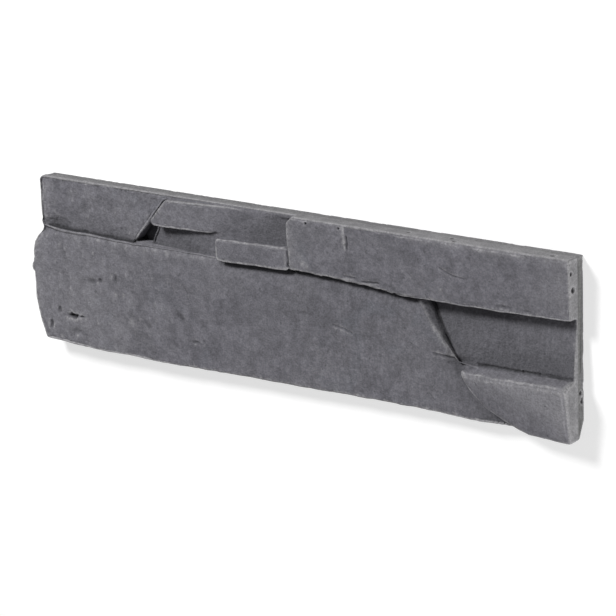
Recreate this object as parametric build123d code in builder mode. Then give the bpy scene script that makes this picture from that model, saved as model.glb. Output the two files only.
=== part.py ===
from build123d import *

import os
from math import radians, tan

# Concrete cladding tile: one casting that imitates split stones laid in three courses.
# The tile lies on its back. X runs along the courses, Y up the wall and Z out of the wall.
# The origin is the middle of the flat back, which is bonded to the wall. Millimetres.

# Outline of the tile on the wall
tile_length = 502.0  # right end to the furthest point of the swollen left end
tile_height = 134.4  # top edge to the lowest point of the bottom edge
end_swell = 10.7  # how far the large stone stands past the left end of the top course
bottom_rise = 4.5  # how far the broken bottom edge climbs towards the right
heel_drop = 2.2  # how far the foot stone hangs below that edge at the right end
top_course = 41.0  # height of the top course
bottom_course = 45.0  # height of the bottom course

# Concrete behind the joints, and how far a stone runs on behind its higher neighbour
backing = 7.0
tuck = 6.0
blank_depth = 40.0  # depth that each stone is cut back from

# Rounding left by the mould
edge_round = 2.0
corner_round = 3.0
end_round = 7.0  # top left corner of the tile

# Corner stone, top left
corner_length = 131.3  # along the top edge
corner_face = 14.0
rake_angle = 40.5  # lean of its right end, and of the wedge stone's left end

# Wedge stone and the sunken joint around it, top middle
joint_width = 5.0  # between the corner stone and the wedge stone
joint_head = 4.8  # height of the strip that closes the joint along the top edge
wedge_height = 24.0
wedge_dip = 3.0  # how far its left end lies below the top edge
wedge_thick = 21.0
wedge_thin = 12.5
joint_floor_left = 8.8
joint_floor_right = 15.5
pit_width = 15.0  # hole between the corner stone and the joint's floor, along the large stone
pit_lean = 23.5  # lean of its right side
pit_floor = 3.5

# Small block under the wedge stone
block_share = 0.58  # of the gap between the corner stone and the lintel
block_height = 17.0
block_sink = 0.8  # how far its right end hangs over the large stone
block_drop = 2.2  # how far its left end sits below its right end
block_face = 19.5

# Lintel stone, top right
lintel_length = 242.7
lintel_sag = 5.6  # how far its lower edge drops at the middle
lintel_droop = 3.0  # and how far at the right end
lintel_shoulder = 5.5  # cut off its top left corner
lintel_top = 20.5
lintel_bottom = 18.5

# Large stone, middle and bottom courses
large_left = 18.5
large_right = 15.5
swell_height = 60.0  # of the furthest point of its left end, above the tile's lowest point
sag_length = 85.0  # from the left end to the lowest point of its bottom edge
facet_lean = 14.0  # how far the crease of its lower right corner leans
facet_fall = 6.0  # how far that corner falls away behind the foot stone

# Sunken panel, right of the large stone
panel_length = 130.0  # from the right end, measured along the lintel's lower edge
panel_split_angle = 34.5  # lean of the large stone's right edge
panel_top = 7.5  # at its top left corner, where it is deepest
panel_foot = 10.5
panel_right = 12.0

# Foot stone, bottom right
foot_length = 92.5
foot_heel_length = 36.0  # the part of its bottom edge that is not broken away
foot_rise = 2.4  # how far its top climbs towards the right end
foot_crest = 27.0  # at the right end
foot_crest_left = 20.0
foot_toe = 20.0  # at the right end
foot_toe_left = 13.0
foot_ledge = 4.1  # width on the wall of its top, which sheds water, at the right end
foot_ledge_left = 6.6
foot_round = 3.0

# Corner broken off the back at the bottom right
broken_length = 11.0
broken_height = 13.0
broken_depth = 6.0

# Lines that the stones share
right = tile_length / 2
left = -right
top = tile_height / 2
bottom = -top
raised_bottom = bottom + bottom_rise
foot_bottom = raised_bottom - heel_drop
upper_joint = top - top_course
lower_joint = bottom + bottom_course
course_left = left + end_swell
rake = tan(radians(rake_angle))
corner_top_right = course_left + corner_length
corner_foot_right = corner_top_right - top_course * rake
wedge_top_left = corner_top_right + joint_width
wedge_tip = wedge_top_left - wedge_height * rake
wedge_foot = top - wedge_height
pit_right = corner_foot_right + pit_width
pit_height = wedge_foot - upper_joint
lintel_left = right - lintel_length
block_left = lintel_left - block_share * (lintel_left - corner_top_right)
block_foot = upper_joint - block_sink
panel_top_left = right - panel_length
panel_foot_left = panel_top_left + (upper_joint - lower_joint) * tan(radians(panel_split_angle))
foot_left = right - foot_length
heel_left = right - foot_heel_length
foot_top = lower_joint + foot_rise


def face_through(first, second, third):
    """The plane through three points that run anticlockwise as seen from outside."""
    first, second, third = Vector(*first), Vector(*second), Vector(*third)
    return Plane(origin=first, x_dir=second - first, z_dir=(second - first).cross(third - first))


def face_along(left_x, left_z, right_x, right_z):
    """A stone's face that slopes along the course only."""
    return face_through((left_x, bottom, left_z), (right_x, bottom, right_z), (right_x, top, right_z))


def cast_stone(outline, face):
    """One stone of the relief, from the back of the tile to its own face."""
    with BuildPart() as stone:
        with BuildSketch() as plan:
            with BuildLine():
                Polyline(*outline, close=True)
            make_face()
            inner = plan.vertices().filter_by(lambda v: v.X < right and v.Y < top)
            fillet(inner, corner_round)
        extrude(amount=blank_depth)
        split(bisect_by=face, keep=Keep.BOTTOM)
        fillet(stone.faces().sort_by(Axis.Z)[-1].edges(), edge_round)
    return stone.part


# Corner stone: its raked right end stops short of the wedge stone, but a strip of it runs on
# along the top edge, behind the wedge stone
corner_stone = cast_stone(
    [
        (course_left, top),
        (course_left, upper_joint - tuck),
        (corner_foot_right - tuck * rake, upper_joint - tuck),
        (corner_top_right - joint_head * rake, top - joint_head),
        (lintel_left + 2 * tuck, top - joint_head),
        (lintel_left + 2 * tuck, top),
    ],
    Plane.XY.offset(corner_face),
)

# Floor of the joint: it climbs from the corner stone to the small block
joint_floor = cast_stone(
    [
        (corner_foot_right - tuck, top - joint_head),
        (corner_foot_right - tuck, upper_joint - tuck),
        (block_left + tuck, upper_joint - tuck),
        (block_left + tuck, top - joint_head),
    ],
    face_along(corner_foot_right, joint_floor_left, block_left, joint_floor_right),
)

# Wedge stone: proud at its raked left end and sunk beside the lintel
wedge_stone = cast_stone(
    [
        (wedge_top_left - wedge_dip * rake, top - wedge_dip),
        (wedge_tip, wedge_foot),
        (block_left, wedge_foot),
        (block_left + tuck, upper_joint),
        (lintel_left + 2 * tuck, upper_joint),
        (lintel_left + 2 * tuck, top),
    ],
    face_along(wedge_tip, wedge_thick, lintel_left, wedge_thin),
)

# Small block, tucked between the wedge stone and the large stone
small_block = cast_stone(
    [
        (block_left, block_foot + block_height - block_drop),
        (block_left, block_foot - block_drop),
        (lintel_left, block_foot),
        (lintel_left, block_foot + block_height),
    ],
    Plane.XY.offset(block_face),
)

# Lintel stone: its lower edge sags over the large stone
lintel = cast_stone(
    [
        (lintel_left, top - lintel_shoulder),
        (lintel_left, upper_joint),
        (panel_top_left, upper_joint - lintel_sag),
        (right, upper_joint - lintel_droop),
        (right, top),
        (lintel_left + lintel_shoulder, top),
    ],
    face_through(
        (lintel_left, upper_joint, lintel_bottom),
        (right, upper_joint, lintel_bottom),
        (right, top, lintel_top),
    ),
)

# Sunken panel, deepest under the lintel and open to the right end of the tile
panel = cast_stone(
    [
        (panel_top_left - tuck, upper_joint + tuck),
        (panel_top_left - tuck, lower_joint - tuck),
        (right, lower_joint - tuck),
        (right, upper_joint + tuck),
    ],
    face_through(
        (panel_top_left, upper_joint, panel_top),
        (panel_foot_left, lower_joint, panel_foot),
        (right, 0, panel_right),
    ),
)

# Large stone: swollen left end, broken bottom edge, and a raked split towards the panel
with BuildPart() as large_stone:
    with BuildSketch():
        shoulder = Vector(course_left + edge_round, upper_joint + edge_round)
        belly = Vector(left, bottom + swell_height)
        heel = Vector(course_left, bottom + edge_round)
        lowest = Vector(left + sag_length, bottom)
        bulge = belly - shoulder
        waist = heel - belly
        keel = lowest - heel
        with BuildLine():
            Spline(shoulder, belly, tangents=((2 * bulge.X, bulge.Y), (0, -1)))
            Spline(belly, heel, tangents=((0, -1), (2 * waist.X, waist.Y)))
            Spline(heel, lowest, tangents=((keel.X, 2 * keel.Y), (1, 0)))
            Spline(lowest, (panel_top_left, raised_bottom), tangents=((1, 0), (1, 0)))
            Polyline(
                (panel_top_left, raised_bottom),
                (right - corner_round, raised_bottom),
                (right - corner_round, lower_joint - tuck),
                (panel_foot_left, lower_joint),
                (panel_top_left, upper_joint),
                (corner_foot_right, upper_joint),
                shoulder,
            )
        make_face()
    extrude(amount=blank_depth)
    split(
        bisect_by=face_along(course_left, large_left, panel_top_left, large_right),
        keep=Keep.BOTTOM,
    )
    fillet(large_stone.faces().sort_by(Axis.Z)[-1].edges(), edge_round)
    split(
        bisect_by=face_through(
            (panel_foot_left, lower_joint, large_right),
            (panel_foot_left + facet_lean, raised_bottom, large_right),
            (heel_left, raised_bottom, large_right - facet_fall),
        ),
        keep=Keep.BOTTOM,
    )

# Foot stone: a top that sheds water and twists, a face that leans back, and a broken left end
with BuildPart() as foot_stone:
    for end, height, ledge, crest, toe in (
        (foot_left, lower_joint, foot_ledge_left, foot_crest_left, foot_toe_left),
        (right, foot_top, foot_ledge, foot_crest, foot_toe),
    ):
        with BuildSketch(Plane.YZ.offset(end)):
            with BuildLine():
                Polyline(
                    (foot_bottom, 0),
                    (height, 0),
                    (height, panel_foot),
                    (height - ledge, crest),
                    (foot_bottom, toe),
                    close=True,
                )
            make_face()
    loft(ruled=True)
    with BuildSketch():
        tip = (foot_left, lower_joint)
        toe_left = (heel_left, foot_bottom)
        with BuildLine():
            Spline(tip, toe_left, tangents=((1, -5), (3, -1)))
            Polyline(toe_left, (right, foot_bottom), (right, foot_top), tip)
        make_face()
    extrude(amount=blank_depth, mode=Mode.INTERSECT)
    foot_face = foot_stone.faces().filter_by(lambda f: f.normal_at().Z > 0.9)[0]
    fillet(foot_face.edges(), foot_round)

# The whole casting, with the hole beside the corner stone, the rounded corner of its left end and
# the corner broken off its back
with BuildPart() as tile:
    with BuildSketch():
        with Locations((right, top)):
            Rectangle(
                right - course_left - tuck,
                top - raised_bottom - tuck,
                align=(Align.MAX, Align.MAX),
            )
    extrude(amount=backing)
    add([corner_stone, joint_floor, wedge_stone, small_block, lintel, panel])
    add([large_stone.part, foot_stone.part])
    with BuildSketch(Plane.XY.offset(pit_floor)):
        with BuildLine():
            Polyline(
                (corner_foot_right, upper_joint),
                (pit_right, upper_joint),
                (pit_right + pit_height * tan(radians(pit_lean)), wedge_foot),
                (corner_foot_right + pit_height * rake, wedge_foot),
                close=True,
            )
        make_face()
    extrude(amount=blank_depth, mode=Mode.SUBTRACT)
    with BuildSketch():
        with Locations((course_left, top)):
            Rectangle(end_round, end_round, align=(Align.MIN, Align.MAX))
        with Locations((course_left + end_round, top - end_round)):
            Circle(end_round, mode=Mode.SUBTRACT)
    extrude(amount=blank_depth, mode=Mode.SUBTRACT)
    split(
        bisect_by=face_through(
            (right, foot_bottom + broken_height, 0),
            (right, foot_bottom, broken_depth),
            (right - broken_length, foot_bottom, 0),
        ),
        keep=Keep.BOTTOM,
    )

tile.part.label = "cladding_tile"
os.makedirs("parts", exist_ok=True)
export_step(tile.part, "parts/cladding_tile.step")
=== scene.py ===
import math
from typing import NamedTuple

import bpy
import numpy as np
from mathutils import Matrix, Vector


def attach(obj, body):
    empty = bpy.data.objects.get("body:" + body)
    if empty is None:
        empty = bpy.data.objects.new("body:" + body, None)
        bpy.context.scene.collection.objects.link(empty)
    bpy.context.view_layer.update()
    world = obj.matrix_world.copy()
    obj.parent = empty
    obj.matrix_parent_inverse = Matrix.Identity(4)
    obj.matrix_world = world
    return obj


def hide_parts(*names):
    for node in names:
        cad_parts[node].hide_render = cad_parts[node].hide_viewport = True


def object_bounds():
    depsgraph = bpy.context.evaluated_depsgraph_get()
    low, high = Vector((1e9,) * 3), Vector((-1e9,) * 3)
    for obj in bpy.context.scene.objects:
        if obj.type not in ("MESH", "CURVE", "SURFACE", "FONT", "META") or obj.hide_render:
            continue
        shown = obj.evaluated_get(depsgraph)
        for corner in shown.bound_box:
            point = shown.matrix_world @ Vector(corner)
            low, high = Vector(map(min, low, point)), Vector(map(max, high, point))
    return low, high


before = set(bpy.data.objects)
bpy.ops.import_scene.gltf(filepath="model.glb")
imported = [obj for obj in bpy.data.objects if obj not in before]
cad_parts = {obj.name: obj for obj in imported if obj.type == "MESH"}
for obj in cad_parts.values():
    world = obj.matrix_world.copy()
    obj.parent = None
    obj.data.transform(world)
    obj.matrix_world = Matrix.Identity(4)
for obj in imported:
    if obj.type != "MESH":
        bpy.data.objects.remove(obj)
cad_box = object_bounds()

MM = 0.001
NODE = "cladding_tile"

# Camera, as it stood to the tile's face in the photograph: angles, and lengths in metres
CAMERA_TURN = math.radians(38.1)
CAMERA_RISE = math.radians(16.2)
CAMERA_ROLL = math.radians(-2.02)
CAMERA_DISTANCE = 2.008
LENS_MM = 158.8
SENSOR_MM = 36.0
LOOK_AT = Vector((0.0060, 0.0022, 0.0))
LOOK_RIGHT = 0.0048
LOOK_DOWN = 0.0096

# Lamps: the way to them from the tile, size in metres and power in watts
LAMPS = {
    "key": ((-0.5, 1.0, 1.0), 0.5, 44),
    "side": ((0.84, -0.52, 0.14), 0.4, 32),
}
LAMP_DISTANCE = 2.0
SURROUND_STRENGTH = 0.20

# Floor, which glows to the camera just enough to read as white
FLOOR_REACH = 4.0
FLOOR_GLOW = 0.58
FLOOR_GREY = (0.5, 0.5, 0.5, 1.0)
WHITE = (1.0, 1.0, 1.0, 1.0)

# Colours of the concrete
FACE_DARK = (0.106, 0.104, 0.118, 1.0)
FACE_LIGHT = (0.148, 0.145, 0.164, 1.0)
FACE_PALE = (0.163, 0.160, 0.176, 1.0)
FACE_BLUISH = (0.122, 0.135, 0.158, 1.0)
# Sunk: painted shade in the recesses, partly darker pigment
FACE_SUNK = (0.092, 0.091, 0.101, 1.0)
# Proud: paler, partly rubbed wear and partly painted light
FACE_PROUD = (0.222, 0.219, 0.235, 1.0)
LEFT_SIDES_DARK = (0.150, 0.148, 0.155, 1.0)
LEFT_SIDES_LIGHT = (0.198, 0.195, 0.202, 1.0)
# The right end's sides are lighter than the left's: painted light
RIGHT_SIDES_DARK = (0.185, 0.183, 0.190, 1.0)
RIGHT_SIDES_LIGHT = (0.245, 0.242, 0.249, 1.0)
RAW_DARK = (0.095, 0.095, 0.095, 1.0)
RAW_LIGHT = (0.165, 0.165, 0.163, 1.0)
# Worn edges, partly painted highlight
WORN_EDGE_AND_HIGHLIGHT = (0.310, 0.305, 0.315, 1.0)
# Grime, and painted shade in joints, dents, holes and crevices
GRIME_AND_SHADE = (0.030, 0.030, 0.033, 1.0)
PORE = (0.060, 0.060, 0.065, 1.0)

# Working mesh, and the triangles that are left of it
VOXEL_MM = 0.62
TRIANGLES = 192_000

# Noise: first seed, directions to draw from, the numbers that scatter its cells, and its gain
SEED = 4117
SLOPES = 4096
SCATTER = np.array((73856093, 19349663, 83492791))
NOISE_GAIN = 1.6

# Lines of the relief, in millimetres: X along the courses, Y up the wall, Z out of the wall
UPPER_JOINT = 26.2
LOWER_JOINT = -22.2
BLOCK_LEFT = -59.7
COURSE_LEFT = -240.3
PANEL_LEFT = 121.0
PANEL_LEAN = 0.687  # of its left edge, to the right for each millimetre down
TOP = 67.2
BACK_BAND = 7.5

# Corners that settle: the levels they fall to, and how far the panel's head sinks
LEDGE_LEVEL = 12.0
LEFT_CORNER_LEVEL = 10.5
PANEL_SINK = 1.6

# Top left corner: how far it flares past the top course, and its radius at the front
CORNER_FLARE = 3.5
CORNER_RADIUS = 6.5

# How deep the weathering is cut, in millimetres
WAVE_DEPTH = 0.30
DIMPLE_DEPTH = 0.27
GRAIN_DEPTH = 0.15
STREAK_DEPTH = 0.16
SKIN_DEPTH = 0.12
SCORE_DEPTH = 0.16
BAND_DEPTH = 0.20
JOINT_DEPTH = 0.5
CORNER_DEPTH = 2.4
LINTEL_STEP_DEPTH = 1.3
UNDERCUT_DEPTH = 4.6
HOLLOW_DEPTH = 2.5

# Lump of flash on the swollen left end
LUMP_Y = -7.5
LUMP_HALF = 4.0

# Dents in the face: X, Y, half length, half height, depth, and how dark they are, with painted shade in
# the deeper dents
DENTS = (
    (-210.5, -43, 5.0, 2.0, 4.0, 1.0),
    (-201.5, -42.3, 2.6, 0.9, 1.6, 0.4),
    (-233.5, -52.5, 1.8, 3.8, 1.6, 0.5),
    (-189, -11.5, 4.5, 2.4, 1.2, 0.4),
    (-180, -10, 2.2, 2.2, 1.3, 0.5),
    (-164, -7, 2.0, 4.0, 1.3, 0.4),
    (-224, -39.5, 2.2, 2.4, 1.1, 0.4),
    (-208, -55, 5.0, 2.6, 1.0, 0.25),
    (-85, -44.5, 3.0, 1.4, 0.9, 0.4),
    (-77, -43, 1.4, 1.2, 0.8, 0.3),
    (-222, 30, 10.0, 4.5, 1.4, 0.1),
    (-196, 45, 5.0, 7.0, 0.9, 0.1),
    (-168, 50, 4.0, 6.0, 0.8, 0.1),
    (26, 40, 3.0, 3.0, 0.6, 0.0),
    (72, -17, 7.0, 4.0, 0.8, 0.1),
    (20, -6, 5.0, 1.5, 0.7, 0.2),
    (196.5, 26.0, 5.0, 1.3, 0.9, 0.3),
    (217, 25.4, 4.0, 1.1, 0.8, 0.25),
)

# Cracks and creases: half width, depth, how dark they are with painted shade and dirt, then points along
# them as X, Y
CREASES = (
    (1.9, 0.7, 0.4, (-102, -25), (-97, -28.3)),
    (1.9, 0.6, 0.3, (-136, -36.5), (-132, -40)),
    (1.2, 0.5, 0.1, (-96, -2.5), (-92, -6.5), (-86, -7.0)),
    (0.6, 0.8, 0.9, (170, -21.4), (208, -20.5)),
    (0.6, 0.7, 0.7, (208, -20.5), (222, -20.1)),
    (0.6, 0.6, 0.45, (222, -20.1), (249, -19.4)),
    (0.7, 0.8, 0.2, (144, 47), (148, 44.5), (155, 42.3), (164, 41.5)),
    (0.7, 0.6, 0.1, (111, 41.5), (120, 36)),
    (0.6, 0.9, 0.4, (75, 26.4), (83, 27.0), (90, 27.4)),
    (0.7, 0.8, 0.25, (60, 28.4), (69, 28.2)),
    (1.1, 0.9, 0.3, (134, -18.7), (146, -19.7), (152, -20.2)),
    (0.8, 0.9, 0.0, (46, -11.0), (56, -12.5), (63, -15.0)),
    (0.8, 1.0, 0.3, (63.2, 49), (62.6, 53), (62.0, 58)),
    (0.6, 0.8, 0.3, (8.4, 27), (8.6, 36), (8.4, 43)),
)

# Groove in the large stone, below the stones that stand over it: X, Y
UNDERCUT = ((-58, 21.4), (-20, 22.8), (8, 24.6), (30, 24.4), (58, 24.1), (90, 21.2), (119, 19.0))

# Edges that stay dark, without wear or painted highlight: reach, how much, then points along them as X, Y
UNWORN_UNLIT = (
    (3.5, 1.0, (-130, 26.5), (-122.5, 43.5)),
    (2.5, 0.9, (-129, 43.5), (-110.5, 65)),
    (2.5, 0.5, (-144, 27), (-129, 43.5)),
    (5.0, 0.8, (-250, 26), (-238, 26.5)),
    (2.5, 0.7, (-238, 26), (-150, 26.5)),
    (4.0, 0.7, (170, -44), (185, -56), (207, -64)),
    (4.0, 0.9, (156, -22), (176, -22.5)),
    (3.0, 0.8, (122, 24), (133, 8), (137, 3)),
    (2.5, 0.5, (248.5, -28), (248.5, -64)),
    (2.5, 0.4, (248.5, 28), (248.5, 62)),
)

# Edges that are worn pale and carry a painted highlight: reach, how much, then points along them as X, Y
WORN_AND_HIGHLIT = (
    (3.0, 0.9, (136, 1), (141.5, -6), (146.5, -13.5), (150, -18.5)),
    (2.6, 0.35, (163, -29), (248, -24.5)),
    (3.0, 0.45, (11, 28), (10.5, 60)),
    (4.0, 0.4, (120, 66), (250, 66)),
    (3.5, 0.2, (-215, 23.5), (-62, 22.0)),
    (4.0, 0.3, (244, -30), (244, -60)),
    (4.0, 0.25, (244, 30), (244, 60)),
)

# Joints and walls darkened with painted shade: reach, how much, then points along them as X, Y
SHADED_JOINTS = (
    (2.2, 0.8, (-234, 28.0), (-203, 28.0), (-142, 27.2)),
    (3.5, 0.6, (123, 25), (133, 11), (140.5, 0), (146, -8)),
    (1.8, 0.5, (-128.3, 27.5), (-121.5, 40.5)),
)

# Top half of the large stone's raked right edge: X, Y
SPLIT_EDGE = ((PANEL_LEFT, 26), (137, 3))

# Raked left edge of the wedge stone: X, Y
WEDGE_EDGE = ((-124.0, 43.5), (-106.0, 64.5))

# Left edge of the foot stone, which the large stone falls away behind: X, Y
FOOT_EDGE = ((155, -22), (160, -33), (170, -47), (185, -57), (207, -64))

# Duller patches of the face, painted shade partly with duller pigment, and paler patches, partly painted
# light: X, Y, half length, half height, strength
DULL_AND_SHADED = (
    (40, -5, 110, 30, 0.3),
    (-15, 52, 36, 12, 0.6),
    (-95, 35, 32, 9, 0.45),
    (190, 5, 60, 24, 0.2),
)
PALE_AND_LIT = (
    (-205, -35, 70, 45, 0.4),
    (-244, -10, 8, 45, 0.5),
    (-236, 48, 8, 18, 0.3),
    (-150, 31, 9, 7, 0.4),
    (14, 44, 9, 20, 0.35),
    (236, 44, 14, 20, 0.3),
)

# Pale flecks on the face: X, Y, radius
FLECKS = (
    (20.5, 38, 1.6),
    (22, 33, 2.2),
    (26, 31, 1.7),
    (144, 31, 1.2),
    (-149, -38, 2.2),
    (-156.5, -18.5, 1.5),
    (-164.5, -19, 1.7),
    (-223, -61, 1.5),
    (-197, -43.5, 1.4),
)

# Air holes in the cast edges, darkened inside with painted shade: X, Y, Z, radius
HOLES = (
    (251, 44.8, 13.3, 1.9),
    (251, 56.7, 15.7, 1.4),
    (251, -31.1, 4.1, 1.5),
    (251, -36.9, 2.2, 1.9),
    (249.5, 63.5, 17.5, 1.4),
    (235, 67.2, 13.5, 1.7),
    (156, 66.5, 16.5, 1.5),
    (150, 67.2, 10.0, 1.3),
    (114, 67.2, 12.0, 1.3),
    (27, 63.8, 19.8, 1.1),
    (56.5, 63.8, 20.0, 1.0),
)


# The working mesh

def new_object(name, data):
    """An object in the scene's own collection."""
    made = bpy.data.objects.new(name, data)
    bpy.context.scene.collection.objects.link(made)
    return made


def apply_modifiers(thing):
    """Swaps an object's mesh for the one that its modifiers make."""
    graph = bpy.context.evaluated_depsgraph_get()
    mesh = bpy.data.meshes.new_from_object(thing.evaluated_get(graph))
    thing.modifiers.clear()
    thing.data = mesh


def even_casting():
    """The solid, with a fine and even mesh."""
    thing = new_object("tile_casting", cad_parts[NODE].data.copy())
    remesh = thing.modifiers.new("even", "REMESH")
    remesh.mode = "VOXEL"
    remesh.voxel_size = VOXEL_MM * MM
    apply_modifiers(thing)
    return thing


def thin_out(thing):
    """Cuts the mesh down to the triangles that a piece may have."""
    thing.data.calc_loop_triangles()
    reduce = thing.modifiers.new("reduce", "DECIMATE")
    reduce.ratio = TRIANGLES / len(thing.data.loop_triangles)
    apply_modifiers(thing)
    thing.data.polygons.foreach_set("use_smooth", np.ones(len(thing.data.polygons), bool))


def read_mesh(mesh):
    """Vertex places in millimetres, vertex normals, and the edges as pairs of vertices."""
    places = np.empty(len(mesh.vertices) * 3, np.float32)
    mesh.vertices.foreach_get("co", places)
    normals = np.empty(len(mesh.vertices) * 3, np.float32)
    mesh.vertices.foreach_get("normal", normals)
    edges = np.empty(len(mesh.edges) * 2, np.int32)
    mesh.edges.foreach_get("vertices", edges)
    return places.reshape(-1, 3) / MM, normals.reshape(-1, 3), edges.reshape(-1, 2)


def write_places(mesh, places):
    """Moves a mesh's vertices to places in millimetres."""
    mesh.vertices.foreach_set("co", (places * MM).astype(np.float32).ravel())
    mesh.update()


def write_value(mesh, name, values):
    """Stores one number for each vertex, for the material to read."""
    attribute = mesh.attributes.new(name, "FLOAT", "POINT")
    attribute.data.foreach_set("value", values.astype(np.float32))


# Noise, steps and distances

def noise(points, cell, seed):
    """Gradient noise from about -1 to 1, with features about one cell across."""
    rng = np.random.default_rng(SEED + seed)
    slopes = rng.normal(size=(SLOPES, 3)).astype(np.float32)
    slopes /= np.linalg.norm(slopes, axis=1, keepdims=True)
    scaled = (points / cell + rng.uniform(0, 64, 3)).astype(np.float32)
    base = np.floor(scaled).astype(np.int64)
    inside = scaled - base
    fade = inside ** 3 * (inside * (inside * 6 - 15) + 10)
    total = np.zeros(len(points), np.float32)
    for corner in np.ndindex(2, 2, 2):
        drawn = np.bitwise_xor.reduce((base + corner) * SCATTER, axis=1) % SLOPES
        rise = (slopes[drawn] * (inside - corner)).sum(1)
        weight = np.where(corner, fade, 1 - fade).prod(1)
        total += rise * weight
    return total * NOISE_GAIN


def rough(points, cell, seed, layers):
    """Noise summed over halving cells."""
    return sum(noise(points, cell / 2 ** k, seed + k) / 2 ** k for k in range(layers)) / 1.5


def smooth_step(low, high, values):
    """0 on low's side, 1 on high's side, and smooth between."""
    t = np.clip((values - low) / (high - low), 0, 1)
    return t * t * (3 - 2 * t)


def bell(offsets, reach):
    """1 at no offset, and near 0 at twice the reach."""
    return np.exp(-(offsets / reach) ** 2)


def averaged(values, edges, rounds):
    """Values averaged with their neighbours along the mesh, several times over."""
    a, b = edges[:, 0], edges[:, 1]
    count = len(values)
    neighbours = np.bincount(a, minlength=count) + np.bincount(b, minlength=count)
    columns = values.astype(np.float64).reshape(count, -1)
    for _ in range(rounds):
        for k in range(columns.shape[1]):
            column = columns[:, k]
            sums = np.bincount(a, column[b], count) + np.bincount(b, column[a], count)
            columns[:, k] = 0.5 * column + 0.5 * sums / neighbours
    return columns.reshape(values.shape)


def bulge(places, normals, edges, rounds):
    """How far each vertex stands out of its smoothed surroundings, in millimetres."""
    return ((places - averaged(places, edges, rounds)) * normals).sum(1)


def along_line(x, y, points):
    """Distance of each place from a line through several points."""
    nearest = np.full(len(x), np.inf)
    for (ax, ay), (bx, by) in zip(points, points[1:]):
        length = math.hypot(bx - ax, by - ay)
        t = np.clip(((x - ax) * (bx - ax) + (y - ay) * (by - ay)) / length ** 2, 0, 1)
        nearest = np.minimum(nearest, np.hypot(x - ax - t * (bx - ax), y - ay - t * (by - ay)))
    return nearest


def along_lines(places, table):
    """How strongly the lines of a table act on each place: most on a line, fading over its reach."""
    x, y = places[:, 0], places[:, 1]
    return np.max([much * bell(along_line(x, y, points), reach) for reach, much, *points in table], axis=0)


def patches(places, table):
    """Soft patches of the face, summed."""
    x, y = places[:, 0], places[:, 1]
    return sum(
        strength * bell(x - cx, half_length) * bell(y - cy, half_height)
        for cx, cy, half_length, half_height, strength in table
    )


def left_part(x):
    """0 from the middle of the tile rightwards, and 1 over its left fifth."""
    return smooth_step(-50, -160, x)


# Lines of the stones

def settled(places):
    """Lets two corners of the large stone fall to their neighbours, and the panel's head sink."""
    x, y, z = places.T
    ledge = LEDGE_LEVEL + 1.3 * np.clip(LOWER_JOINT - y, 0, None) * smooth_step(155, 162, x)
    by_foot = bell(x - 160, 13) * bell(y - LOWER_JOINT, 11) * smooth_step(19.5, 17.5, z)
    by_end = bell(x + 246, 14) * bell(y - UPPER_JOINT, 6)
    fall = by_foot * np.clip(z - ledge, 0, None) + by_end * np.clip(z - LEFT_CORNER_LEVEL, 0, None)
    right_of_split = smooth_step(0, 2, x - PANEL_LEFT - PANEL_LEAN * (UPPER_JOINT - y))
    head = smooth_step(-15, 18, y) * smooth_step(30, 26, y)
    floor_only = smooth_step(2, 6, z) * smooth_step(14, 12, z)
    return np.stack((x, y, z - fall - PANEL_SINK * head * right_of_split * floor_only), 1)


def waver(plan, seed):
    """A slow and a quick bend, in millimetres."""
    return 0.6 * noise(plan, cell=30, seed=seed) + 0.35 * noise(plan, cell=9, seed=seed + 1)


def natural_lines(places):
    """Bends the stones' straight edges, and leaves the top and the right end straight."""
    x, y, z = places.T
    plan = places * (1, 1, 0)
    free = smooth_step(66, 52, y) * smooth_step(250, 236, x)
    close = 1.2 * bell(along_line(x, y, WEDGE_EDGE), 2.6)
    flare = CORNER_FLARE * smooth_step(-218, -239, x) * smooth_step(22, 31, y)
    lean = 2.8 * bell(along_line(x, y, SPLIT_EDGE), 6) * smooth_step(9, 15, z)
    bend_x = free * waver(plan, seed=1) - close - flare - lean
    bend_y = free * waver(plan, seed=3)
    return np.stack((x + bend_x, y + bend_y, z), 1)


def rounded_corner(places):
    """Rounds the top left corner of the tile, most at the back."""
    x, y, z = places.T
    radius = CORNER_RADIUS + 3.0 * smooth_step(14, 0, z)
    in_x = x - (COURSE_LEFT - CORNER_FLARE + radius)
    in_y = y - (TOP - radius)
    reach = np.hypot(in_x, in_y)
    outside = (in_x < 0) & (in_y > 0) & (reach > radius)
    pull = np.where(outside, radius / np.maximum(reach, 1e-6), 1.0)
    return np.stack((x + in_x * (pull - 1), y + in_y * (pull - 1), z), 1)


# Depths of the weathering

def split_stone(places, face):
    """Waves, dimples and grain of the split stone that the mould copied, coarsest at the left."""
    x, y = places[:, 0], places[:, 1]
    coarse = 1 + 1.3 * left_part(x)
    waves = WAVE_DEPTH * (1 + rough(places, cell=46, seed=10, layers=3))
    dimples = DIMPLE_DEPTH * (1 + rough(places, cell=12, seed=20, layers=2))
    drawn_along = (y > UPPER_JOINT) & (x > -110)
    drawn = places * np.where(drawn_along[:, None], (0.3, 1.0, 1.0), (1.0, 0.35, 1.0))
    grain = GRAIN_DEPTH * (1 + rough(places, cell=4.5, seed=30, layers=2))
    streaks = STREAK_DEPTH * (1 + noise(drawn, cell=3.2, seed=40))
    return face * coarse * (waves + dimples + grain + streaks)


def outer_edges(places):
    """1 on the tile's own four edges, and 0 on the walls between its stones."""
    x, y = places[:, 0], places[:, 1]
    ends = np.maximum(smooth_step(-233, -239, x), smooth_step(246, 250, x))
    rims = np.maximum(smooth_step(-55, -60, y), smooth_step(62, 66, y))
    return np.maximum(ends, rims)


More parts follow.
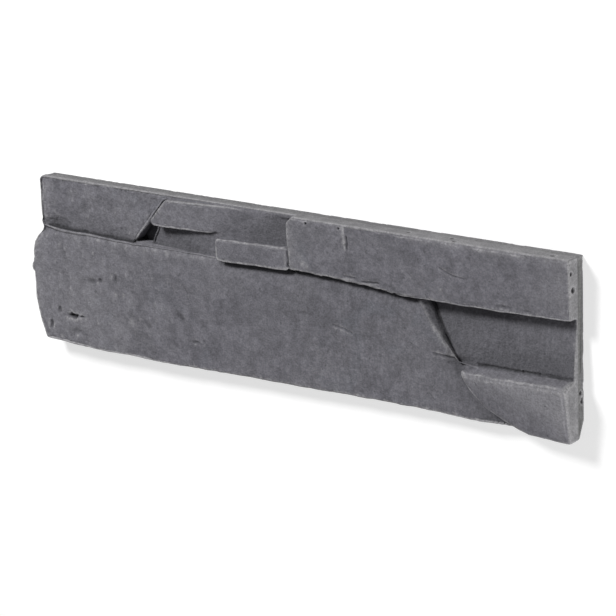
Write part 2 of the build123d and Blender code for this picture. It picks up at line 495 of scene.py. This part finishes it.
def cast_sides(places, side):
    """Rough sides, scored along the back edge."""
    drawn = places * (0.04, 0.04, 1.0)
    band = smooth_step(BACK_BAND + 1.5, BACK_BAND - 1.0, places[:, 2])
    skin = SKIN_DEPTH * (1 + rough(places, cell=5, seed=50, layers=2))
    scores = SCORE_DEPTH * (1 + noise(drawn, cell=1.6, seed=60))
    lumps = BAND_DEPTH * (1 + rough(places, cell=8, seed=61, layers=3))
    return side * (skin + band * (scores + lumps))


def worn_edges(places, out):
    """Rounded and nibbled edges, roundest on the foot stone."""
    chips = smooth_step(0.05, 0.7, rough(places, cell=9, seed=80, layers=3))
    foot = smooth_step(19.5, 22.0, places[:, 2]) * smooth_step(150, 165, places[:, 0])
    return smooth_step(0.10, 0.55, out) * (0.10 + 0.7 * chips + foot)


def raked_joints(out):
    """Deeper lines where one stone meets the next."""
    return JOINT_DEPTH * smooth_step(-0.3, -0.7, out)


def broken_ends(places, normals):
    """The left end around its lump of flash, and the broken bottom edge."""
    x, y, z = places.T
    at_left = smooth_step(-226, -238, x) * smooth_step(-0.15, -0.6, normals[:, 0])
    lump = np.exp(-((y - LUMP_Y) / LUMP_HALF) ** 4) * smooth_step(6, 12, z)
    worn = 0.9 + 1.3 * bell(y - LUMP_Y, 14) + 0.7 * rough(places, cell=16, seed=90, layers=3)
    left = at_left * (1 - lump) * worn * smooth_step(30, 20, y)
    corner = smooth_step(-237, -243.5, x) * smooth_step(27, 33, y) * smooth_step(6, 12, z)
    at_foot = smooth_step(-0.3, -0.8, normals[:, 1]) * smooth_step(-52, -58, y) * smooth_step(180, 120, x)
    foot = at_foot * (0.5 + 0.5 * rough(places, cell=18, seed=100, layers=3))
    return np.clip(left, 0, None) + CORNER_DEPTH * corner + np.clip(foot, 0, None)


def worn_shoulder(places):
    """The large stone's top edge, worn to a bevel a millimetre deep below the top course."""
    x, y, z = places.T
    near = bell(y - UPPER_JOINT + 0.5, 2.6) * smooth_step(11.5, 14.5, z)
    return near * smooth_step(BLOCK_LEFT - 2, BLOCK_LEFT - 10, x)


def lintel_step(places, face):
    """A shallow split across the lintel, proud on its left."""
    x, y, z = places.T
    across = smooth_step(61.2, 62.4, x - 0.1 * (60 - y)) * smooth_step(115, 66, x)
    return LINTEL_STEP_DEPTH * face * across * smooth_step(46, 54, y) * smooth_step(16, 17, z)


def undercut(places, face):
    """The groove in the large stone, along the stones that stand over it: depth, and a painted shadow in
    it.
    """
    x, y, z = places.T
    away = along_line(x, y, UNDERCUT)
    below = face * smooth_step(17.9, 17.2, z)
    return UNDERCUT_DEPTH * below * np.exp(-away / 6.0), 0.4 * below * bell(away, 2.4)


def hollow(places, face):
    """Where the large stone falls away behind the foot stone."""
    x, y, z = places.T
    near = np.exp(-along_line(x, y, FOOT_EDGE) / 11.0)
    return face * near * smooth_step(17.0, 15.6, z) * smooth_step(-17, -24, y)


def marks(places, face):
    """The dents, creases and air holes that the photograph shows: depth, and how dark they are with
    painted shade.
    """
    x, y, z = places.T
    depth = np.zeros(len(x))
    dark = np.zeros(len(x))
    wobble = rough(places, cell=3.5, seed=110, layers=2)
    for cx, cy, half_length, half_height, deep, stain in DENTS:
        spread = ((x - cx) / half_length) ** 2 + ((y - cy) / half_height) ** 2
        ragged = 0.9 * min(1.0, 2.5 / half_height)
        shape = face * np.exp(-np.clip(spread * (1 + ragged * wobble), 0, None) ** 1.5)
        depth += deep * shape
        dark += stain * shape
    for half_width, deep, stain, *points in CREASES:
        away = along_line(x + 0.5 * wobble, y + 0.5 * half_width * wobble, points)
        shape = face * bell(away, half_width)
        depth += deep * shape
        dark += stain * shape
    for cx, cy, cz, radius in HOLES:
        spread = ((x - cx) ** 2 + (y - cy) ** 2 + (z - cz) ** 2) / radius ** 2
        shape = np.exp(-(spread * 1.2) ** 2)
        depth += 1.6 * radius * shape
        dark += 1.5 * shape
    return depth, dark


class Zones(NamedTuple):
    """How far each vertex belongs to the parts of the surface that are coloured apart."""
    face: np.ndarray
    side: np.ndarray
    behind_foot: np.ndarray
    dark: np.ndarray
    unworn_unlit: np.ndarray


def weather(mesh):
    """Cuts stone grain, worn edges and scars into the mesh, inside the CAD box, and returns its zones,
    with painted shade among them.
    """
    places, normals, edges = read_mesh(mesh)
    out = bulge(places, normals, edges, rounds=30)
    face = smooth_step(0.35, 0.8, normals[:, 2])
    back = smooth_step(-0.6, -0.9, normals[:, 2])
    side = (1 - face) * (1 - back) * outer_edges(places)
    scars, dark = marks(places, face)
    groove, painted_shadow = undercut(places, face)
    shoulder = worn_shoulder(places)
    behind_foot = hollow(places, face)
    depth = split_stone(places, face) + cast_sides(places, side) + worn_edges(places, out)
    depth += raked_joints(out) + broken_ends(places, normals) + shoulder
    depth += lintel_step(places, face) + groove + HOLLOW_DEPTH * behind_foot + scars
    low, high = (np.array(corner) / MM for corner in cad_box)
    write_places(mesh, np.clip(places - normals * depth[:, None], low, high))
    # Painted shade: the shadow below the lintel, and shade along the joints and on walls that face
    # sideways, away from the light
    leaning = np.maximum(smooth_step(-0.15, -0.5, out), smooth_step(0.25, 0.6, np.abs(normals[:, 0])))
    dark += painted_shadow + along_lines(places, SHADED_JOINTS) * leaning
    unworn_unlit = np.maximum(0.85 * shoulder, along_lines(places, UNWORN_UNLIT))
    return Zones(face, side, behind_foot, dark, unworn_unlit)


# What the material has to know

def flecks(places, face):
    """Where pale flecks show on the face."""
    x, y = places[:, 0], places[:, 1]
    return face * sum(bell(x - cx, radius) * bell(y - cy, radius) for cx, cy, radius in FLECKS)


def height_above_rest(places, face):
    """How far each vertex stands above the mean face around it, in millimetres."""
    step = 3.0
    across = np.round((places[:, 0] - places[:, 0].min()) / step).astype(int)
    upward = np.round((places[:, 1] - places[:, 1].min()) / step).astype(int)
    shape = (across.max() + 1, upward.max() + 1)
    weight = np.zeros(shape)
    total = np.zeros(shape)
    np.add.at(weight, (across, upward), face)
    np.add.at(total, (across, upward), face * places[:, 2])
    around = bell(np.arange(-24, 25) * step, 22.0)
    for axis in (0, 1):
        weight = np.apply_along_axis(np.convolve, axis, weight, around, "same")[:shape[0], :shape[1]]
        total = np.apply_along_axis(np.convolve, axis, total, around, "same")[:shape[0], :shape[1]]
    return places[:, 2] - (total / weight)[across, upward]


def blotches(places):
    """Mottling of the left part and of the lintel's left end: dark above 0, and pale below."""
    x = places[:, 0]
    mottled = left_part(x) + 0.6 * bell(x - 35, 25)
    return 1.7 * mottled * rough(places, cell=10, seed=130, layers=2)


def sunk_places(places, zones, mottling):
    """How dull each place is: low in the relief, behind the foot stone, in a dull patch or in a dark
    blotch; all but the blotches are painted shade, partly darker pigment.
    """
    above = height_above_rest(places, zones.face)
    sunk = zones.face * smooth_step(-1.0, -4.0, above) + zones.behind_foot + patches(places, DULL_AND_SHADED)
    return np.clip(sunk + 0.35 * np.clip(mottling, 0, None), 0, 1)


def pale_places(places, mottling):
    """How pale each place is: proud of the rest, on the foot stone, in a pale patch or blotch; all but the
    blotches are partly rubbed wear and partly painted light.
    """
    x, y, z = places.T
    foot = smooth_step(17.5, 19.5, z) * smooth_step(150, 160, x) * smooth_step(-19, -22, y)
    tip = bell(x - 167, 8) * bell(y + 33, 10)
    pale = smooth_step(19.5, 22.0, z) + patches(places, PALE_AND_LIT) + foot * (0.4 + 0.5 * tip)
    return pale + 0.5 * np.clip(-mottling, 0, None)


def worn_and_highlit_places(places, fine, broad, unworn_unlit):
    """How worn and highlit each place is: where it stands out, and along the edges that the photograph
    shows; the pale edges are partly wear and partly painted highlight.
    """
    x, y = places[:, 0], places[:, 1]
    wear_and_highlight = 0.6 * smooth_step(0.05, 0.18, fine * (1 - 0.45 * left_part(x)))
    wear_and_highlight += 0.8 * smooth_step(0.12, 0.42, broad)
    wear_and_highlight *= (1 - unworn_unlit) * np.where(y > 60, 0.6 + 0.7 * smooth_step(-20, 200, x), 1.0)
    return wear_and_highlight + along_lines(places, WORN_AND_HIGHLIT) * (0.7 + 0.6 * rough(places, cell=7, seed=140, layers=2))


def note_colours(mesh, zones):
    """Stores, for each vertex, what the material colours apart."""
    places, normals, edges = read_mesh(mesh)
    x, y, z = places.T
    fine = bulge(places, normals, edges, rounds=8)
    broad = bulge(places, normals, edges, rounds=40)
    mottling = blotches(places)
    sunk = sunk_places(places, zones, mottling)
    wear_and_highlight = worn_and_highlit_places(places, fine, broad, zones.unworn_unlit) * (1 - 0.7 * sunk)
    band = zones.side * smooth_step(BACK_BAND + 1.0, BACK_BAND - 1.0, z)
    write_value(mesh, "wear_and_highlight", np.clip(wear_and_highlight + 0.8 * flecks(places, zones.face), 0, 1))
    # dark also takes painted shade in the fine crevices
    write_value(mesh, "dark", np.clip(zones.dark + 0.5 * smooth_step(-0.22, -0.60, fine), 0, 1))
    # low: painted shade in recesses and behind the foot stone, partly darker pigment
    write_value(mesh, "low", sunk)
    # proud: partly rubbed wear, partly painted light
    write_value(mesh, "proud", zones.face * pale_places(places, mottling))
    write_value(mesh, "side", averaged(zones.side, edges, rounds=4))
    write_value(mesh, "along", smooth_step(-200, 250, x))
    write_value(mesh, "drawn", smooth_step(-80, 80, x) * smooth_step(28, 24, y))
    write_value(mesh, "band", band * (0.45 + 0.55 * np.abs(normals[:, 0])))


def sculpt(thing):
    """Bends the casting's lines, weathers it and notes what the material has to know."""
    places, _, edges = read_mesh(thing.data)
    write_places(thing.data, rounded_corner(natural_lines(settled(averaged(places, edges, rounds=2)))))
    note_colours(thing.data, weather(thing.data))


# Materials

class Nodes:
    """Short ways to make and join the nodes of one material."""

    def __init__(self, name):
        self.material = bpy.data.materials.new(name)
        self.material.use_nodes = True
        self.tree = self.material.node_tree
        self.shader = self.tree.nodes["Principled BSDF"]

    def add(self, kind, **settings):
        made = self.tree.nodes.new(kind)
        for key, value in settings.items():
            setattr(made, key, value)
        return made

    def join(self, source, target):
        """Links a socket, or sets a plain value."""
        if isinstance(source, bpy.types.NodeSocket):
            self.tree.links.new(source, target)
        else:
            target.default_value = source

    def value(self, name):
        return self.add("ShaderNodeAttribute", attribute_name=name).outputs["Fac"]

    def cloud(self, scale, detail=3.0, stretch=(1, 1, 1), warp=0.0):
        """Noise over the object, from 0 to 1, with features about 1/scale metres across."""
        place = self.add("ShaderNodeTexCoord").outputs["Object"]
        mapping = self.add("ShaderNodeMapping")
        self.join(place, mapping.inputs["Vector"])
        mapping.inputs["Scale"].default_value = stretch
        texture = self.add("ShaderNodeTexNoise")
        self.join(mapping.outputs["Vector"], texture.inputs["Vector"])
        texture.inputs["Scale"].default_value = scale
        texture.inputs["Detail"].default_value = detail
        texture.inputs["Distortion"].default_value = warp
        return texture.outputs["Fac"]

    def ramp(self, source, low, high, to_low=0.0, to_high=1.0):
        made = self.add("ShaderNodeMapRange", interpolation_type="SMOOTHSTEP")
        self.join(source, made.inputs["Value"])
        for key, number in zip(("From Min", "From Max", "To Min", "To Max"), (low, high, to_low, to_high)):
            made.inputs[key].default_value = number
        return made.outputs["Result"]

    def math(self, operation, first, second):
        made = self.add("ShaderNodeMath", operation=operation)
        self.join(first, made.inputs[0])
        self.join(second, made.inputs[1])
        return made.outputs[0]

    def times(self, first, second):
        return self.math("MULTIPLY", first, second)

    def mix(self, amount, first, second, kind="MIX"):
        made = self.add("ShaderNodeMix", data_type="RGBA", blend_type=kind)
        self.join(amount, made.inputs["Factor"])
        self.join(first, made.inputs["A"])
        self.join(second, made.inputs["B"])
        return made.outputs["Result"]


def face_colour(n, clouds):
    """Pigmented concrete: clouded, dull where it is sunk, as painted shade partly with darker pigment, and
    paler where it stands proud, partly as painted light.
    """
    base = n.mix(clouds, FACE_DARK, FACE_LIGHT)
    broad = n.ramp(n.cloud(13, warp=0.6), 0.35, 0.65)
    base = n.mix(n.times(broad, 0.45), base, FACE_PALE)
    fine = n.ramp(n.cloud(230, 6.0), 0.32, 0.68, 0.88, 1.12)
    base = n.mix(1.0, base, fine, "MULTIPLY")
    bluish = n.ramp(n.cloud(24, 2.0, warp=0.8), 0.60, 0.75)
    base = n.mix(n.times(bluish, 0.2), base, FACE_BLUISH)
    # Painted shade in the recesses, partly darker pigment
    base = n.mix(n.times(n.value("low"), 0.8), base, FACE_SUNK)
    # Partly rubbed wear, partly painted light where the face stands proud
    return n.mix(n.times(n.value("proud"), 0.6), base, FACE_PROUD)


def side_colour(n, clouds):
    """Cast sides, darker towards the left end and lighter towards the right, which is painted light."""
    left = n.mix(clouds, LEFT_SIDES_DARK, LEFT_SIDES_LIGHT)
    right = n.mix(clouds, RIGHT_SIDES_DARK, RIGHT_SIDES_LIGHT)
    return n.mix(n.value("along"), left, right)


def raw_colour(n):
    """Raw concrete along the back edge, scored lengthways."""
    scores = n.ramp(n.cloud(520, stretch=(0.05, 0.05, 1.0)), 0.35, 0.65)
    return n.mix(scores, RAW_DARK, RAW_LIGHT)


def aged(n, base):
    """A colour with worn edges and painted highlights, grime and painted shade, speckle, drawn streaks and
    pores over it.
    """
    nibble = n.ramp(n.cloud(240, 4.0), 0.35, 0.65, 0.35, 1.0)
    # Worn pale edges, partly painted highlight
    base = n.mix(n.times(n.value("wear_and_highlight"), nibble), base, WORN_EDGE_AND_HIGHLIGHT)
    # Grime, and painted shade in joints, dents, holes and crevices
    base = n.mix(n.value("dark"), base, GRIME_AND_SHADE)
    speckle = n.ramp(n.cloud(700, 4.0), 0.3, 0.7, 0.84, 1.16)
    base = n.mix(1.0, base, speckle, "MULTIPLY")
    streaks = n.ramp(n.cloud(420, stretch=(1.0, 0.15, 1.0), warp=0.4), 0.3, 0.7, 0.93, 1.07)
    base = n.mix(n.value("drawn"), base, streaks, "MULTIPLY")
    pores = n.ramp(n.cloud(240, 1.0), 0.70, 0.78, 0.0, 0.5)
    return n.mix(pores, base, PORE)


def grain_bump(n):
    """Fine sand in the cast skin, as a bump of the normals."""
    bump = n.add("ShaderNodeBump")
    bump.inputs["Strength"].default_value = 1.0
    bump.inputs["Distance"].default_value = 0.8 * MM
    grain = n.math("ADD", n.cloud(400, 5.0), n.times(n.cloud(1100, 2.0), 0.4))
    n.join(grain, bump.inputs["Height"])
    return bump.outputs["Normal"]


def concrete():
    """Graphite grey cast concrete: pigmented face, paler sides, raw back band and worn edges, with painted
    light and shade.
    """
    n = Nodes("cast_concrete")
    clouds = n.ramp(n.cloud(90, 8.0, warp=0.3), 0.32, 0.68)
    base = n.mix(n.value("side"), face_colour(n, clouds), side_colour(n, clouds))
    band = n.times(n.value("band"), n.ramp(clouds, 0.0, 0.6, 0.5, 1.0))
    base = n.mix(band, base, raw_colour(n))
    n.join(aged(n, base), n.shader.inputs["Base Color"])
    n.join(n.ramp(n.cloud(120), 0.3, 0.7, 0.84, 0.97), n.shader.inputs["Roughness"])
    n.shader.inputs["Specular IOR Level"].default_value = 0.25
    n.join(grain_bump(n), n.shader.inputs["Normal"])
    return n.material


def floor_white():
    """Matt grey that keeps the tile's shadow and reads as white to the camera."""
    n = Nodes("floor_white")
    n.shader.inputs["Base Color"].default_value = FLOOR_GREY
    n.shader.inputs["Roughness"].default_value = 1.0
    n.shader.inputs["Specular IOR Level"].default_value = 0.0
    n.shader.inputs["Emission Color"].default_value = WHITE
    rays = n.add("ShaderNodeLightPath").outputs
    seen = n.math("MAXIMUM", rays["Is Camera Ray"], rays["Is Glossy Ray"])
    seen = n.math("MAXIMUM", seen, rays["Is Transmission Ray"])
    n.join(n.times(seen, FLOOR_GLOW), n.shader.inputs["Emission Strength"])
    return n.material


# Studio

def floor():
    """A plain pale floor."""
    reach = FLOOR_REACH
    corners = [(-reach, -reach, 0), (reach, -reach, 0), (reach, reach, 0), (-reach, reach, 0)]
    mesh = bpy.data.meshes.new("floor")
    mesh.from_pydata(corners, [], [(0, 1, 2, 3)])
    mesh.materials.append(floor_white())
    new_object("floor", mesh)


def lamp(name, towards, size, power):
    """A square soft lamp that faces the tile."""
    data = bpy.data.lights.new(name, "AREA")
    data.shape = "SQUARE"
    data.size = size
    data.energy = power
    thing = new_object(name, data)
    direction = Vector(towards).normalized()
    thing.location = LAMP_DISTANCE * direction
    thing.rotation_euler = direction.to_track_quat("Z", "Y").to_euler()


def lights():
    """Soft light from above the tile's top edge, a low lamp at its right, and a dim surround."""
    world = bpy.data.worlds.new("studio")
    world.use_nodes = True
    surround = world.node_tree.nodes["Background"]
    surround.inputs["Color"].default_value = WHITE
    surround.inputs["Strength"].default_value = SURROUND_STRENGTH
    bpy.context.scene.world = world
    for name, (towards, size, power) in LAMPS.items():
        lamp(name, towards, size, power)


def camera():
    """The photograph's view of the tile's face."""
    back = Vector((
        math.sin(CAMERA_TURN) * math.cos(CAMERA_RISE),
        math.sin(CAMERA_RISE),
        math.cos(CAMERA_TURN) * math.cos(CAMERA_RISE),
    ))
    level = Vector((0, 1, 0)).cross(back).normalized()
    upright = back.cross(level)
    across = math.cos(CAMERA_ROLL) * level + math.sin(CAMERA_ROLL) * upright
    up = math.cos(CAMERA_ROLL) * upright - math.sin(CAMERA_ROLL) * level
    data = bpy.data.cameras.new("camera")
    data.lens = LENS_MM
    data.sensor_width = SENSOR_MM
    thing = new_object("camera", data)
    place = LOOK_AT + LOOK_RIGHT * across - LOOK_DOWN * up + CAMERA_DISTANCE * back
    thing.matrix_world = Matrix.Translation(place) @ Matrix((across, up, back)).transposed().to_4x4()
    bpy.context.scene.camera = thing


tile = even_casting()
sculpt(tile)
thin_out(tile)
tile.data.materials.clear()
tile.data.materials.append(concrete())
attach(tile, "root")
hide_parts(NODE)
floor()
lights()
camera()
bpy.context.scene.view_settings.view_transform = "Standard"
